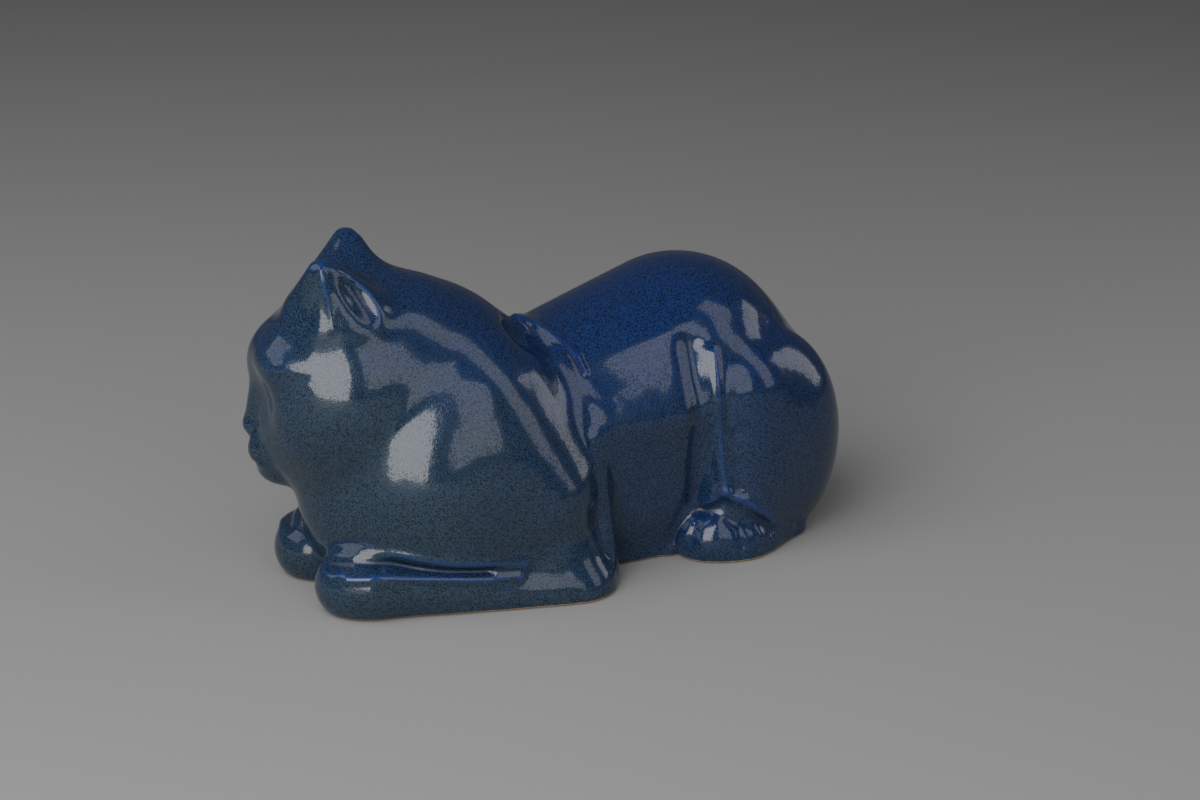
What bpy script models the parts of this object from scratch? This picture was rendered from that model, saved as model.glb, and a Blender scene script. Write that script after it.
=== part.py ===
"""Funeral urn in the form of a resting cat: a hollow glazed stoneware body and the rubber bung that closes its underside.

The figure faces -X with its head turned towards +Y, stands on z = 0 and is modelled in metres. It is laid out
on a grid of units, each a share of the overall length, as swelling forms that melt into each other.
"""

import math

import bmesh
import bpy
import numpy as np
from mathutils import Matrix

# Overall size of the figure, from nose to rump, and the grid unit that its forms are laid out in
LENGTH = 0.300
UNITS_IN_LENGTH = 92.4
UNIT = LENGTH / UNITS_IN_LENGTH

# Walls of the pot, in metres
WALL = 0.006
FLOOR = 0.007

# Rounding of the foot, and how much of a quarter round it is
FOOT_ROLL = 0.0022
FOOT_TUCK = 0.9

# Filler hole in the underside, with a recess that hides the stopper's flange
FILLER_X = 0.020
FILLER_RADIUS = 0.020
RECESS_RADIUS = 0.026
RECESS_DEPTH = 0.0032

# Stopper, and the clearance all round it
FIT_GAP = 0.0003
FLANGE_THICKNESS = 0.0022
STOPPER_LENGTH = 0.012
STOPPER_TAPER = 0.0012
STOPPER_EDGE = 0.0006

# Turn of the head towards the cat's own right, and the middle of the skull in grid units
HEAD_TURN = -36
HEAD_CENTRE = (-34.9, 0.6, 33.6)

# Fineness of the meshes
SKIN_VOXEL = LENGTH / 150
LINING_VOXEL = LENGTH / 75
SKIN_TRIANGLES = 8000
LINING_TRIANGLES = 1900
ROUND_SIDES = 40
PROBE = 0.0002
MAX_MOVE = 0.004
LEAST_SLOPE = 0.5
LEAST_CORE = 1
MERGE = 0.00001
CUT_PAST = 0.004

LEFT, RIGHT = -1, 1
TINY = 1e-9


class Ball:
    """An ellipsoid of given half axes. A melt width says how softly it joins the forms before it."""

    def __init__(self, centre, radii, melt, turn=(0, 0, 0), carves=False):
        self.centre = np.array(centre, float)
        self.radii = np.array(radii, float)
        self.melt = melt
        self.carves = carves
        self.axes = rotation(turn)

    def distance(self, points):
        local = (points - self.centre) @ self.axes
        ratio = np.linalg.norm(local / self.radii, axis=1)
        slope = np.linalg.norm(local / self.radii**2, axis=1)
        return ratio * (ratio - 1) / np.maximum(slope, TINY)


class Bone:
    """A round cone between two balls, with an optional flattening along each axis."""

    def __init__(self, start, end, start_radius, end_radius, melt, flat=(1, 1, 1), carves=False):
        self.flat = np.array(flat, float)
        self.start = np.array(start, float) / self.flat
        self.end = np.array(end, float) / self.flat
        self.start_radius = start_radius
        self.end_radius = end_radius
        self.melt = melt
        self.carves = carves

    def distance(self, points):
        axis = self.end - self.start
        length = np.linalg.norm(axis)
        offset = points / self.flat - self.start
        along = offset @ axis / length
        aside = np.linalg.norm(offset - along[:, None] * axis / length, axis=1)
        taper = (self.start_radius - self.end_radius) / length
        lean = math.sqrt(1 - taper**2)
        foot = along - aside * taper / lean
        side = aside * lean + along * taper - self.start_radius
        first = np.hypot(aside, along) - self.start_radius
        last = np.hypot(aside, along - length) - self.end_radius
        found = np.where(foot < 0, first, np.where(foot > length, last, side))
        return found * self.flat.min()


class Group:
    """Forms that melt together among themselves before they join the rest, laid out in a frame of their own."""

    carves = False

    def __init__(self, melt, forms, turn=(0, 0, 0), place=(0, 0, 0)):
        self.melt = melt
        self.forms = forms
        self.axes = rotation(turn)
        self.place = np.array(place, float)

    def distance(self, points):
        return fold((points - self.place) @ self.axes, self.forms)


def rotation(turn):
    """Matrix of a turn in degrees about X, then Y, then Z."""
    x, y, z = (math.radians(angle) for angle in turn)
    turned = Matrix.Rotation(z, 3, "Z") @ Matrix.Rotation(y, 3, "Y") @ Matrix.Rotation(x, 3, "X")
    return np.array(turned)


def trunk_forms():
    """Back, rump, belly, chest and neck, and the broad sole that the figure stands on."""
    back = Group(0, [
        Bone((-1, 0, 20.5), (19.5, 0, 25.2), 15.5, 17, 0),
        Ball((25.5, 0, 14.5), (19.3, 16.5, 18), 8),
        Ball((8, 0, 10), (22, 14.2, 17), 7),
    ])
    sole = Group(2, [Bone((-24, 0, 0), (29, 0, 0), 12, 13, 0, flat=(1, 1, 0.5))])
    front = Group(4, [
        Ball((-23, 0, 15), (18.6, 14.5, 18), 0),
        Bone((-9.5, 0, 24.5), (-27, 0.5, 33.6), 11, 12.8, 8),
        Ball((-20, 0, 31.2), (10, 11, 11.4), 6),
    ])
    return [back, front, sole]


def foreleg(side):
    """Shoulder, upper arm and elbow in one block, and the forearm laid along the ground in front of it."""
    shoulder = Group(6, [
        Ball((-19, side * 8.5, 18), (17, 11, 19.5), 0, turn=(side * 6, 0, 0)),
        Bone((-18, side * 9, 28), (-10, side * 12, 14), 7.5, 8.5, 6),
    ])
    elbow = Group(1.4, [
        Bone((-13, side * 8.5, 29), (-8, side * 13.4, 2), 6.5, 8, 0),
        Bone((-16, side * 10, 17), (-17, side * 10.5, 2), 8.5, 8, 6),
        Bone((-2.6, side * 13.8, 22), (-1.6, side * 16.2, 2), 2.2, 2.4, 1.4),
    ])
    fore = Group(1.6, [
        Bone((-6.5, side * 15.8, 0.5), (-33.5, side * 8.6, 3.9), 6.6, 6.6, 0, flat=(1, 1, 0.9)),
        Ball((-35, side * 7.6, 3.8), (7.8, 6.8, 6.3), 3),
    ])
    blade = Group(3, [
        Bone((-5.8, 0, 34.4), (-5, side * 8, 31.5), 1.3, 1.3, 0),
        Bone((-5, side * 8, 31.5), (-1.5, side * 12.5, 26.4), 1.3, 1, 1),
    ])
    dimple = Ball((-8, side * 6.5, 37.4), (3.4, 3.6, 3), 4, carves=True)
    return [shoulder, elbow, fore, blade, dimple]


def hind_leg(side):
    """Thigh with its upright front edge, and the hind paw that looks out from under it."""
    thigh = Group(1.6, [
        Bone((22.8, side * 11.5, 25), (23, side * 12.6, 9), 7.2, 7, 0),
        Ball((28.5, side * 9.8, 15), (13, 9, 17.5), 7),
        Bone((18, side * 12.6, 26), (17.8, side * 14.4, 9), 2.3, 2.3, 2.5),
    ])
    paw = Group(1.2, [
        Ball((20.5, side * 14.2, 2.2), (8, 5.6, 7), 0),
        Bone((22, side * 14.5, 1), (31, side * 11.8, 0.6), 5, 4.2, 4),
    ])
    return [thigh, paw]


def head_forms():
    """Skull, jaw, brow, nose and muzzle in the head's own frame, which faces -X, and the two ears."""
    skull = [
        Ball((1.2, 0, -0.5), (12.6, 11, 13.2), 0),
        Ball((-1.3, 0, -9), (10.7, 8.8, 10), 6),
        Ball((-8, 0, 0.8), (5.1, 5.6, 5.6), 4),
    ]
    for side in (LEFT, RIGHT):
        skull += [
            Ball((1.2, side * 6, -4.8), (8.8, 5.7, 9.5), 4),
            Ball((-5.6, side * 5.4, 2.6), (4.6, 4.4, 3.6), 5),
            Ball((-15.2, side * 7.8, -3.8), (6, 4.6, 4.8), 4.5, carves=True),
        ]
    skull += [
        Bone((-9.8, 0, -0.5), (-12.1, 0, -8.4), 2.8, 1.8, 1.5),
        Ball((-12.5, 0, -9.4), (1.8, 2.3, 1.6), 1.0),
        Ball((-10.0, 1.9, -12.2), (3.3, 3.0, 3.2), 1.6),
        Ball((-10.0, -1.9, -12.2), (3.3, 3.0, 3.2), 1.6),
        Ball((-8.6, 0, -15.2), (4.0, 3.8, 3.0), 1.4),
    ]
    for side in (LEFT, RIGHT):
        skull += ear_forms(side)
    return [Group(4, skull, turn=(0, 0, HEAD_TURN), place=HEAD_CENTRE)]


def skull_core():
    """The part of the skull that the vessel's hollow reaches into."""
    return Group(5, [Ball((1.2, 0, -2), (12, 10.5, 13.5), 0)], turn=(0, 0, HEAD_TURN), place=HEAD_CENTRE)


def ear_forms(side):
    """A thick ear with a hollow on its front and another behind its outer ridge."""
    return [
        Bone((0.3, side * 5.2, 8.4), (-0.5, side * 7.9, 16.4), 7, 1.7, 4, flat=(1, 0.82, 1)),
        Ball((-4.2, side * 12.7, 10.4), (3.6, 5.0, 8), 2.2, turn=(side * 8, 14, -side * 54), carves=True),
        Ball((4.5, side * 9.6, 13.2), (1.6, 4.2, 5.4), 0.7, turn=(0, -35, 0), carves=True),
    ]


def tail_forms():
    """The tail leaves the rump and lies round the far side."""
    route = ((38, 11), (34, 16), (27, 19), (16, 20), (5, 18.8))
    radii = (4.2, 3.9, 3.6, 3.3, 2.9)
    bones = [
        Bone((*route[i], 3), (*route[i + 1], 3), radii[i], radii[i + 1], 0.5)
        for i in range(len(route) - 1)
    ]
    return [Group(1.5, bones)]


def hollow_forms():
    """The masses that the hollow follows one wall inside. Paws, ears and tail stay solid, as when cast in slip."""
    forms = trunk_forms()
    for side in (LEFT, RIGHT):
        forms += foreleg(side)[:2] + hind_leg(side)[:1]
    return forms + [skull_core()]


def figure_forms():
    """The whole figure, in the order in which its forms are joined and carved."""
    forms = trunk_forms()
    for side in (LEFT, RIGHT):
        forms += foreleg(side) + hind_leg(side)
    return forms + head_forms() + tail_forms()


def melted(a, b, width):
    """Union of two distances whose seam is a fillet of that width."""
    if width <= 0:
        return np.minimum(a, b)
    share = np.maximum(width - np.abs(a - b), 0) / width
    return np.minimum(a, b) - share**3 * width / 6


def fold(points, forms):
    """Distance in units from points to the forms joined in their order: negative inside."""
    found = forms[0].distance(points)
    for form in forms[1:]:
        if form.carves:
            found = -melted(-found, form.distance(points), form.melt)
        else:
            found = melted(found, form.distance(points), form.melt)
    return found


def skin(points):
    """Distance in metres to the outer skin, which draws in just above the ground to a rounded foot."""
    near_ground = np.clip(1 - points[:, 2] / FOOT_ROLL, 0, 1)
    drawn_in = FOOT_ROLL * (1 - np.sqrt(1 - FOOT_TUCK * near_ground**2))
    return fold(points / UNIT, figure_forms()) * UNIT + drawn_in


def lining(points):
    """Distance in metres to the hollow's surface, at least one wall inside the skin."""
    grid = points / UNIT
    return np.maximum(fold(grid, hollow_forms()), fold(grid, figure_forms())) * UNIT + WALL


def gradient(field, points, reach):
    """Direction in which a field grows fastest, and how fast, from four probes."""
    corners = ((1, -1, -1), (-1, -1, 1), (-1, 1, -1), (1, 1, 1))
    slopes = sum(np.array(c) * field(points + reach * np.array(c))[:, None] for c in corners)
    return slopes / (4 * reach)


def settle(mesh, field, reach, steps=4):
    """Moves a mesh's vertices onto the zero surface of a field."""
    flat = np.empty(3 * len(mesh.vertices))
    mesh.vertices.foreach_get("co", flat)
    points = flat.reshape(-1, 3)
    for _ in range(steps):
        slope = gradient(field, points, reach)
        square = np.maximum((slope**2).sum(axis=1), LEAST_SLOPE**2)
        move = -field(points)[:, None] * slope / square[:, None]
        size = np.linalg.norm(move, axis=1, keepdims=True)
        points = points + move * np.minimum(1, MAX_MOVE / np.maximum(size, TINY))
    mesh.vertices.foreach_set("co", points.ravel())
    mesh.update()


def sphere_points(centre, radius, flat, rings=8, spokes=16):
    """Points on a ball, stretched by flat."""
    found = []
    for ring in range(rings + 1):
        polar = math.pi * ring / rings
        for spoke in range(spokes):
            angle = 2 * math.pi * spoke / spokes
            way = (math.sin(polar) * math.cos(angle), math.sin(polar) * math.sin(angle), math.cos(polar))
            found.append((np.array(centre) + radius * np.array(way)) * np.array(flat))
    return found


def hull_points(form, inset):
    """Points in units whose convex hull is the form, drawn in by the inset."""
    if isinstance(form, Ball):
        ball = np.array(sphere_points((0, 0, 0), 1, (1, 1, 1))) * (form.radii - inset)
        return ball @ form.axes.T + form.centre
    first = sphere_points(form.start, form.start_radius - inset, form.flat)
    return np.array(first + sphere_points(form.end, form.end_radius - inset, form.flat))


def slimmest(form):
    """Smallest radius of a form, in units."""
    if isinstance(form, Ball):
        return form.radii.min()
    return min(form.start_radius, form.end_radius)


def hulls(forms, carves, inset, axes=np.eye(3), place=np.zeros(3)):
    """Hull points of the forms that add clay, or of those that carve, in the figure's frame.

    Forms that an inset would all but use up are left out.
    """
    found = []
    for form in forms:
        if isinstance(form, Group):
            found += hulls(form.forms, carves, inset, axes @ form.axes, axes @ form.place + place)
        elif form.carves == carves and slimmest(form) > inset + LEAST_CORE:
            found.append(hull_points(form, inset) @ axes.T + place)
    return found


def hull_mesh(name, clouds):
    """One object that holds the convex hull of each cloud of points."""
    bm = bmesh.new()
    for points in clouds:
        verts = [bm.verts.new(p) for p in points * UNIT]
        hull = bmesh.ops.convex_hull(bm, input=verts, use_existing_faces=False)
        unused = [v for v in hull["geom_interior"] if isinstance(v, bmesh.types.BMVert)]
        bmesh.ops.delete(bm, geom=unused, context="VERTS")
    return new_object(name, bm)


def remeshed(obj, voxel):
    remesh = obj.modifiers.new("Melt", "REMESH")
    remesh.mode = "VOXEL"
    remesh.voxel_size = voxel
    apply_modifiers(obj)


def rough_mesh(name, forms, voxel, inset=0):
    """The forms as convex hulls, run together into one closed mesh, with the carving ones cut out of it."""
    obj = hull_mesh(name, hulls(forms, False, inset))
    remeshed(obj, voxel)
    carving = hulls(forms, True, 0)
    if carving:
        subtract(obj, hull_mesh("carving", carving))
        remeshed(obj, voxel)
    return obj


def new_object(name, bm):
    mesh = bpy.data.meshes.new(name)
    bm.to_mesh(mesh)
    bm.free()
    obj = bpy.data.objects.new(name, mesh)
    bpy.context.scene.collection.objects.link(obj)
    return obj


def apply_modifiers(obj):
    """Replaces an object's mesh by what its modifiers make of it."""
    graph = bpy.context.evaluated_depsgraph_get()
    graph.update()
    result = bpy.data.meshes.new_from_object(obj.evaluated_get(graph))
    old = obj.data
    obj.modifiers.clear()
    obj.data = result
    bpy.data.meshes.remove(old)


def thin_out(obj, triangles):
    """Collapses edges until about that many triangles are left."""
    bm = bmesh.new()
    bm.from_mesh(obj.data)
    bmesh.ops.triangulate(bm, faces=bm.faces)
    count = len(bm.faces)
    bm.to_mesh(obj.data)
    bm.free()
    decimate = obj.modifiers.new("Thin out", "DECIMATE")
    decimate.ratio = min(1, triangles / count)
    apply_modifiers(obj)


def cut_flat(obj, height):
    """Removes what lies below a height and closes the cut with one flat face."""
    bm = bmesh.new()
    bm.from_mesh(obj.data)
    everything = bm.verts[:] + bm.edges[:] + bm.faces[:]
    bmesh.ops.bisect_plane(
        bm, geom=everything, dist=MERGE, plane_co=(0, 0, height), plane_no=(0, 0, 1), clear_inner=True
    )
    rim = [e for e in bm.edges if e.is_boundary]
    bmesh.ops.contextual_create(bm, geom=rim)
    bmesh.ops.triangulate(bm, faces=[f for f in bm.faces if len(f.verts) > 3])
    bmesh.ops.recalc_face_normals(bm, faces=bm.faces)
    bm.to_mesh(obj.data)
    bm.free()


def turned_solid(name, profile, place, sides=ROUND_SIDES):
    """A closed solid of revolution about Z from (radius, height) points that start and end on the axis."""
    bm = bmesh.new()
    verts = [bm.verts.new((r, 0, z)) for r, z in profile]
    edges = [bm.edges.new(pair) for pair in zip(verts, verts[1:])]
    bmesh.ops.spin(
        bm, geom=verts + edges, cent=(0, 0, 0), axis=(0, 0, 1), angle=2 * math.pi, steps=sides,
        use_merge=True, use_duplicate=False,
    )
    bmesh.ops.remove_doubles(bm, verts=bm.verts, dist=MERGE)
    bmesh.ops.recalc_face_normals(bm, faces=bm.faces)
    bmesh.ops.translate(bm, verts=bm.verts, vec=place)
    return new_object(name, bm)


def subtract(obj, cutter):
    """Cuts one solid out of another and removes the cutter."""
    cut = obj.modifiers.new("Cut", "BOOLEAN")
    cut.operation = "DIFFERENCE"
    cut.solver = "EXACT"
    cut.object = cutter
    apply_modifiers(obj)
    bpy.data.objects.remove(cutter)


def vessel():
    """The cat, hollow inside, with a filler hole and a recess for the stopper in its flat base."""
    body = rough_mesh("cat_vessel", figure_forms(), SKIN_VOXEL)
    settle(body.data, skin, PROBE)
    thin_out(body, SKIN_TRIANGLES)
    settle(body.data, skin, PROBE, 2)
    cut_flat(body, 0)
    hollow = rough_mesh("hollow", hollow_forms(), LINING_VOXEL, WALL / UNIT)
    settle(hollow.data, lining, PROBE, 8)
    thin_out(hollow, LINING_TRIANGLES)
    cut_flat(hollow, FLOOR)
    subtract(body, hollow)
    subtract(body, filler_cutter())
    return body


def filler_cutter():
    """The filler hole through the floor, with the wider recess at its foot."""
    deep = RECESS_DEPTH
    profile = (
        (0, -CUT_PAST),
        (RECESS_RADIUS, -CUT_PAST),
        (RECESS_RADIUS, deep),
        (FILLER_RADIUS, deep),
        (FILLER_RADIUS, FLOOR + CUT_PAST),
        (0, FLOOR + CUT_PAST),
    )
    return turned_solid("filler_cutter", profile, (FILLER_X, 0, 0))


def stopper():
    """A rubber bung with a flange. The flange lies in the recess, clear of the ground."""
    shoulder = RECESS_DEPTH - FIT_GAP
    flange = RECESS_RADIUS - FIT_GAP
    neck = FILLER_RADIUS - FIT_GAP
    tip = neck - STOPPER_TAPER
    profile = (
        (0, shoulder - FLANGE_THICKNESS),
        (flange - STOPPER_EDGE, shoulder - FLANGE_THICKNESS),
        (flange, shoulder - FLANGE_THICKNESS + STOPPER_EDGE),
        (flange, shoulder),
        (neck, shoulder),
        (tip, shoulder + STOPPER_LENGTH - STOPPER_EDGE),
        (tip - STOPPER_EDGE, shoulder + STOPPER_LENGTH),
        (0, shoulder + STOPPER_LENGTH),
    )
    return turned_solid("stopper", profile, (FILLER_X, 0, 0))


def dress(obj, name, colour, roughness):
    """Gives a piece its own material and smooth shading."""
    material = bpy.data.materials.new(name)
    material.use_nodes = True
    shader = material.node_tree.nodes["Principled BSDF"]
    shader.inputs["Base Color"].default_value = (*colour, 1)
    shader.inputs["Roughness"].default_value = roughness
    shader.inputs["Metallic"].default_value = 0
    obj.data.materials.clear()
    obj.data.materials.append(material)
    for face in obj.data.polygons:
        face.use_smooth = True


def centre(pieces):
    """Moves the pieces together so that the first one's box is centred over the origin."""
    corners = np.array([v.co for v in pieces[0].data.vertices])
    middle = (corners.min(axis=0) + corners.max(axis=0)) / 2
    for piece in pieces:
        piece.data.transform(Matrix.Translation((-middle[0], -middle[1], 0)))


def main():
    for obj in list(bpy.data.objects):
        bpy.data.objects.remove(obj)
    body, bung = vessel(), stopper()
    centre([body, bung])
    dress(body, "glaze", (0.03, 0.09, 0.2), 0.1)
    dress(bung, "rubber", (0.035, 0.033, 0.032), 0.6)


if __name__ == "__main__":
    main()
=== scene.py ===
"""Looks of a funeral urn in the form of a resting cat: speckled blue stoneware glaze, and a rubber bung.

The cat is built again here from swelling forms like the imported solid's, in the same place, with a finer mesh
and the small relief that the solid leaves out. It is laid out as an add-on, with settings, operators and a
panel, and is run as a script.
"""

import math

import bmesh
import bpy
import numpy as np
from mathutils import Matrix, Vector


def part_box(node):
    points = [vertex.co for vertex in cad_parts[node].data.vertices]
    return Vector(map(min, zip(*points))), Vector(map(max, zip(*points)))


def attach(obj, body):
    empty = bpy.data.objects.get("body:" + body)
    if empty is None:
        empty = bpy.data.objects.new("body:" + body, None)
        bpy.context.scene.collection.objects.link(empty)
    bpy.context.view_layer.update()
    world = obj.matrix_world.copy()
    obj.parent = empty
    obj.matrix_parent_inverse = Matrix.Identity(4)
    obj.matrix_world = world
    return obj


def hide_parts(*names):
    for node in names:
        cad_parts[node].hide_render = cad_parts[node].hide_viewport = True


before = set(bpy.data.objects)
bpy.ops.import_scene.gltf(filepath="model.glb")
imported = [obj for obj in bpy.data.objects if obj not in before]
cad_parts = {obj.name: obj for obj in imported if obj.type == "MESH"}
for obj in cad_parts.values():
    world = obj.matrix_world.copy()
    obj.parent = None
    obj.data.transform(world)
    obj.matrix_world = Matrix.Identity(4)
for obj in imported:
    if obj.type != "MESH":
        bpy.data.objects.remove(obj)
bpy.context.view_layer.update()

bl_info = {
    "name": "Resting cat urn",
    "version": (1, 0, 0),
    "blender": (4, 5, 0),
    "location": "3D View > Sidebar > Cat urn",
    "description": "Builds a glazed stoneware urn in the form of a resting cat, its bung and a plain studio",
    "category": "Object",
}

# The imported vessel's box gives the grid unit that all forms of the cat are laid out in, and the grid's place.
# In that grid the vessel is this many units wide, and its rump and far side reach this far along X and Y.
VESSEL_LOW, VESSEL_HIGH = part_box("cat_vessel")
GRID_WIDTH = 45.701
GRID_REAR = 44.786
GRID_FAR = 23.347
UNIT = (VESSEL_HIGH.y - VESSEL_LOW.y) / GRID_WIDTH
SHIFT = Vector((VESSEL_HIGH.x - GRID_REAR * UNIT, VESSEL_HIGH.y - GRID_FAR * UNIT, 0))

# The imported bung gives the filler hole's place and size
BUNG_LOW, BUNG_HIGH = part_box("stopper")
BUNG_MIDDLE = (BUNG_LOW + BUNG_HIGH) / 2
FIT_GAP = 0.0003

# Walls of the pot and its filler hole, in metres
WALL = 0.006
FLOOR = 0.007
FILLER_RADIUS = 0.020
RECESS_DEPTH = 0.0032
CUT_PAST = 0.004
ROUND_SIDES = 96

# Rounding of the foot, and how much of a quarter round it is
FOOT_ROLL = 0.0022
FOOT_TUCK = 0.9

# Turn of the head towards the cat's own right, and the middle of the skull in grid units
HEAD_TURN = -36
HEAD_CENTRE = (-34.9, 0.6, 33.6)

# Camera in grid units: where it stands and what it looks at
CAMERA_PLACE = (-179.5, -350.0, 169.6)
CAMERA_AIM = (33.5, 50.7, 0.0)

LEFT, RIGHT = -1, 1

# Meshing, in metres: the merge distance, a probe's reach, the longest move in a step and the hollow's voxel.
TINY = 1e-9
MERGE = 0.00001
PROBE = 0.0002
MAX_MOVE = 0.004
HOLLOW_VOXEL = 0.004
LEAST_SLOPE = 0.5
LEAST_CORE = 1
SPLIT_BENDS = (9, 12)

# How a bend in 1/m becomes the share of a ridge or a crease that the glaze reads. The crease share darkens the
# glaze as pooled glaze and as painted shade.
RIDGE_GAIN, RIDGE_START = 0.008, 0.4
CREASE_GAIN, CREASE_START = 0.006, 0.1
BEND_PASSES = 3

# Half the side of the studio's square floor
FLOOR_REACH = 6


class GlazeSettings(bpy.types.PropertyGroup):
    """Colours and finish of the glaze and of the bare clay"""

    # deep_blue, darkened further, also colours the creases, where it stands for pooled glaze and for painted
    # shade.
    deep_blue: bpy.props.FloatVectorProperty(
        name="Deep blue", description="Glaze where it lies thick, on the back and in the hollows",
        subtype="COLOR", default=(0.0082, 0.0198, 0.086), min=0, max=1,
    )
    teal_blue: bpy.props.FloatVectorProperty(
        name="Teal blue", description="Glaze lower down and on the head and chest",
        subtype="COLOR", default=(0.0168, 0.0335, 0.0555), min=0, max=1,
    )
    edge_blue: bpy.props.FloatVectorProperty(
        name="Edge blue", description="Royal blue where the glaze runs thin over ridges and rims",
        subtype="COLOR", default=(0.014, 0.034, 0.15), min=0, max=1,
    )
    speck_colour: bpy.props.FloatVectorProperty(
        name="Specks", description="Near-black iron specks in the glaze",
        subtype="COLOR", default=(0.0022, 0.0045, 0.0085), min=0, max=1,
    )
    speck_size: bpy.props.FloatProperty(
        name="Speck size", description="Distance between neighbouring specks",
        subtype="DISTANCE", unit="LENGTH", default=0.00095, min=0.0003, max=0.005,
    )
    gloss: bpy.props.FloatProperty(
        name="Roughness", description="Roughness of the fired glaze",
        subtype="FACTOR", default=0.07, min=0, max=1,
    )
    clay: bpy.props.FloatVectorProperty(
        name="Bare clay", description="Buff stoneware where the foot is wiped free of glaze",
        subtype="COLOR", default=(0.42, 0.29, 0.17), min=0, max=1,
    )
    foot_line: bpy.props.FloatProperty(
        name="Foot line", description="Height of the bare clay line above the ground",
        subtype="DISTANCE", unit="LENGTH", default=0.0013, min=0, max=0.01,
    )


class FigureSettings(bpy.types.PropertyGroup):
    """Fineness and small relief of the cat"""

    cell: bpy.props.FloatProperty(
        name="Cell", description="Size of the faces on the cat's smooth places",
        subtype="DISTANCE", unit="LENGTH", default=0.0021, min=0.001, max=0.01,
    )
    relief: bpy.props.FloatProperty(
        name="Relief", description="Depth of the toe grooves, mouth and thigh edges, as a share of the usual",
        subtype="FACTOR", default=1, min=0, max=1.5,
    )


class StudioSettings(bpy.types.PropertyGroup):
    """Floor, lamps and camera"""

    floor_colour: bpy.props.FloatVectorProperty(
        name="Floor", description="Colour of the plain floor",
        subtype="COLOR", default=(0.29, 0.29, 0.29), min=0, max=1,
    )
    room_colour: bpy.props.FloatVectorProperty(
        name="Room", description="Colour of the dim room all round",
        subtype="COLOR", default=(0.1, 0.1, 0.105), min=0, max=1,
    )
    key_power: bpy.props.FloatProperty(
        name="Key lamp", description="Power of the soft lamp at the camera's left",
        subtype="POWER", unit="POWER", default=8.5, min=0,
    )
    side_power: bpy.props.FloatProperty(
        name="Side lamp", description="Power of the soft lamp at the right",
        subtype="POWER", unit="POWER", default=0.9, min=0,
    )
    neck_power: bpy.props.FloatProperty(
        name="Neck fill", description="Power of the dim panel in front, which shows on the neck",
        subtype="POWER", unit="POWER", default=2.3, min=0,
    )
    fill_power: bpy.props.FloatProperty(
        name="Broad fill", description="Power of the dim panel at the front right, which shows on the haunch",
        subtype="POWER", unit="POWER", default=1.9, min=0,
    )
    far_power: bpy.props.FloatProperty(
        name="Far fill", description="Power of the dim panel at the far left",
        subtype="POWER", unit="POWER", default=3, min=0,
    )
    top_power: bpy.props.FloatProperty(
        name="Overhead", description="Power of the lamp above, which shows in no reflection",
        subtype="POWER", unit="POWER", default=15, min=0,
    )
    lens: bpy.props.FloatProperty(
        name="Lens", description="Focal length",
        subtype="DISTANCE_CAMERA", unit="CAMERA", default=85, min=20, max=300,
    )


class Ball:
    """An ellipsoid of given half axes. A melt width says how softly it joins the forms before it."""

    def __init__(self, centre, radii, melt, turn=(0, 0, 0), carves=False):
        self.centre = np.array(centre, float)
        self.radii = np.array(radii, float)
        self.melt = melt
        self.carves = carves
        self.axes = rotation(turn)

    def distance(self, points):
        local = (points - self.centre) @ self.axes
        ratio = np.linalg.norm(local / self.radii, axis=1)
        slope = np.linalg.norm(local / self.radii**2, axis=1)
        return ratio * (ratio - 1) / np.maximum(slope, TINY)


class Bone:
    """A round cone between two balls, with an optional flattening along each axis."""

    def __init__(self, start, end, start_radius, end_radius, melt, flat=(1, 1, 1), carves=False):
        self.flat = np.array(flat, float)
        self.start = np.array(start, float) / self.flat
        self.end = np.array(end, float) / self.flat
        self.start_radius = start_radius
        self.end_radius = end_radius
        self.melt = melt
        self.carves = carves

    def distance(self, points):
        axis = self.end - self.start
        length = np.linalg.norm(axis)
        offset = points / self.flat - self.start
        along = offset @ axis / length
        aside = np.linalg.norm(offset - along[:, None] * axis / length, axis=1)
        taper = (self.start_radius - self.end_radius) / length
        lean = math.sqrt(1 - taper**2)
        foot = along - aside * taper / lean
        side = aside * lean + along * taper - self.start_radius
        first = np.hypot(aside, along) - self.start_radius
        last = np.hypot(aside, along - length) - self.end_radius
        found = np.where(foot < 0, first, np.where(foot > length, last, side))
        return found * self.flat.min()


class Group:
    """Forms that melt together before they join the rest, laid out in a frame of their own."""

    carves = False

    def __init__(self, melt, forms, turn=(0, 0, 0), place=(0, 0, 0)):
        self.melt = melt
        self.forms = forms
        self.axes = rotation(turn)
        self.place = np.array(place, float)

    def distance(self, points):
        return fold((points - self.place) @ self.axes, self.forms)


class Ridge:
    """A raised line along a route on one side, or a crease where its height is negative.

    Distances across the body count at the given share, so that a line reaches the skin beside its route.
    """

    def __init__(self, route, side, width, height, across=0.4):
        self.route = np.array(route, float) * (1, side, 1)
        self.width = width
        self.height = height
        self.shares = np.array((1, across, 1))

    def lift(self, points):
        """How far the line raises the surface at each point."""
        lift = np.zeros(len(points))
        reach = 3 * self.width / self.shares
        low, high = self.route.min(axis=0) - reach, self.route.max(axis=0) + reach
        near = np.nonzero(((points > low) & (points < high)).all(axis=1))[0]
        away = np.full(len(near), np.inf)
        route, places = self.route * self.shares, points[near] * self.shares
        for start, end in zip(route, route[1:]):
            axis = end - start
            share = np.clip((places - start) @ axis / (axis @ axis), 0, 1)
            away = np.minimum(away, np.linalg.norm(places - start - share[:, None] * axis, axis=1))
        lift[near] = self.height * np.exp(-((away / self.width) ** 2))
        return lift


def rotation(turn):
    """Matrix of a turn in degrees about X, then Y, then Z."""
    x, y, z = (math.radians(angle) for angle in turn)
    turned = Matrix.Rotation(z, 3, "Z") @ Matrix.Rotation(y, 3, "Y") @ Matrix.Rotation(x, 3, "X")
    return np.array(turned)


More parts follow.
